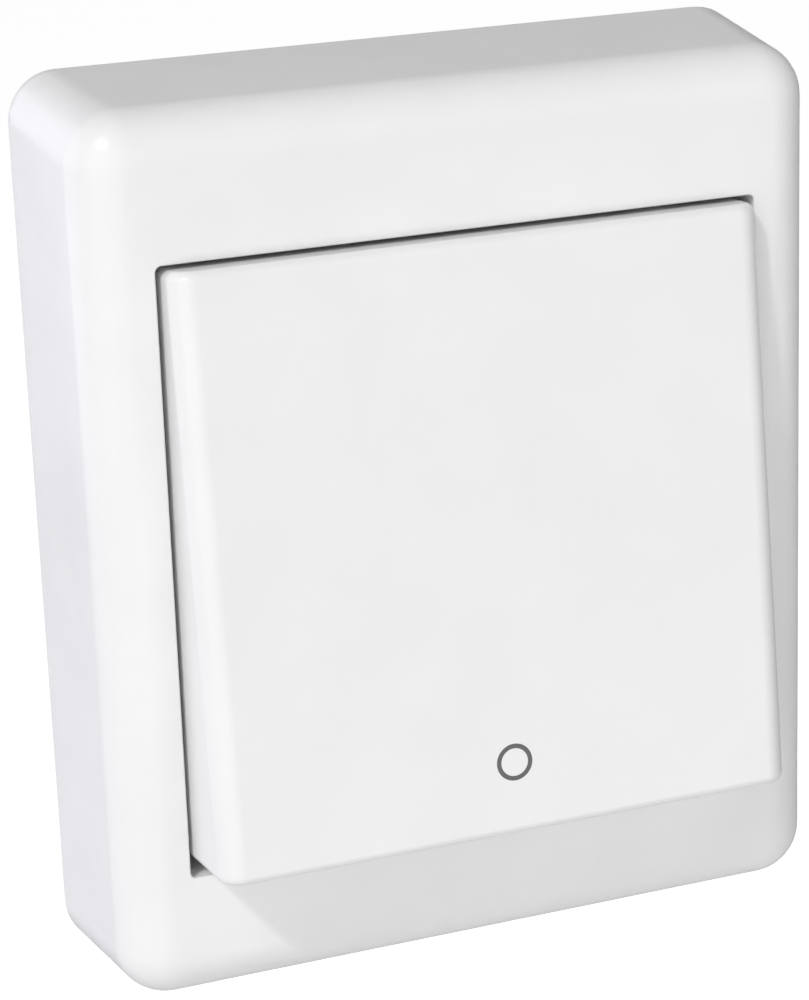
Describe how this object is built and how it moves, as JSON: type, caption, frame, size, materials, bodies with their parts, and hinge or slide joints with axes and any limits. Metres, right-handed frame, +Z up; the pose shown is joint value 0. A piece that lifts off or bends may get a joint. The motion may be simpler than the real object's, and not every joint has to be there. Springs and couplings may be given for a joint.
{
  "type": "light switch",
  "caption": "Surface-mounted light switch: a shallow white box with rounded corners and one wide rocker, marked with a small ring for off.",
  "frame": {"origin": "middle of the back face, where the base plate meets the wall", "axes": "+Z up the wall, +X to the right as seen from the room, the rocker faces -Y and +Y points into the wall"},
  "size_m": [0.071, 0.0275, 0.084],
  "materials": {
    "cover_plastic": "glossy",
    "rocker_plastic": "glossy",
    "base_plastic": "satin",
    "block_plastic": "satin",
    "bearing_plastic": "satin",
    "carrier_plastic": "satin",
    "plunger_plastic": "satin",
    "contact_brass": "brushed",
    "terminal_brass": "machined",
    "contact_tip": "polished",
    "spring_steel": "bright",
    "screw_steel": "zinc"
  },
  "bodies": {
    "base": {"cover": "cover_plastic", "base_plate": "base_plastic", "contact_block": "block_plastic", "bearing_frame": "bearing_plastic", "fixed_tips": "contact_tip", "terminal_screws": "screw_steel", "insert_screws": "screw_steel", "cover_screws": "screw_steel", "frame_screws": "screw_steel", "pivot_contact_left": "contact_brass", "fixed_contact_left": "contact_brass", "terminal_line_left": "terminal_brass", "terminal_load_left": "terminal_brass", "pivot_contact_right": "contact_brass", "fixed_contact_right": "contact_brass", "terminal_line_right": "terminal_brass", "terminal_load_right": "terminal_brass"},
    "rocker": {"rocker_cap": "rocker_plastic", "rocker_carrier": "carrier_plastic", "plunger_left": "plunger_plastic", "plunger_right": "plunger_plastic", "spring_left": "spring_steel", "spring_right": "spring_steel"},
    "lever_left": {"contact_lever_left": "contact_brass", "lever_tip_left": "contact_tip"},
    "lever_right": {"contact_lever_right": "contact_brass", "lever_tip_right": "contact_tip"}
  },
  "joints": [
    {"name": "rocker_hinge", "type": "hinge", "parent": "base", "child": "rocker", "pos_m": [0, -0.0144, -0.0004], "axis": [1, 0, 0], "range_deg": [0, 12.4]},
    {"name": "lever_left_hinge", "type": "hinge", "parent": "base", "child": "lever_left", "pos_m": [-0.0095, -0.0058, -0.0004], "axis": [1, 0, 0], "range_deg": [-9, 0]},
    {"name": "lever_right_hinge", "type": "hinge", "parent": "base", "child": "lever_right", "pos_m": [0.0095, -0.0058, -0.0004], "axis": [1, 0, 0], "range_deg": [-9, 0]}
  ],
  "couplings": [
    {"joint": "lever_left_hinge", "follows": "rocker_hinge", "ratio": -0.7258},
    {"joint": "lever_right_hinge", "follows": "rocker_hinge", "ratio": -0.7258}
  ]
}
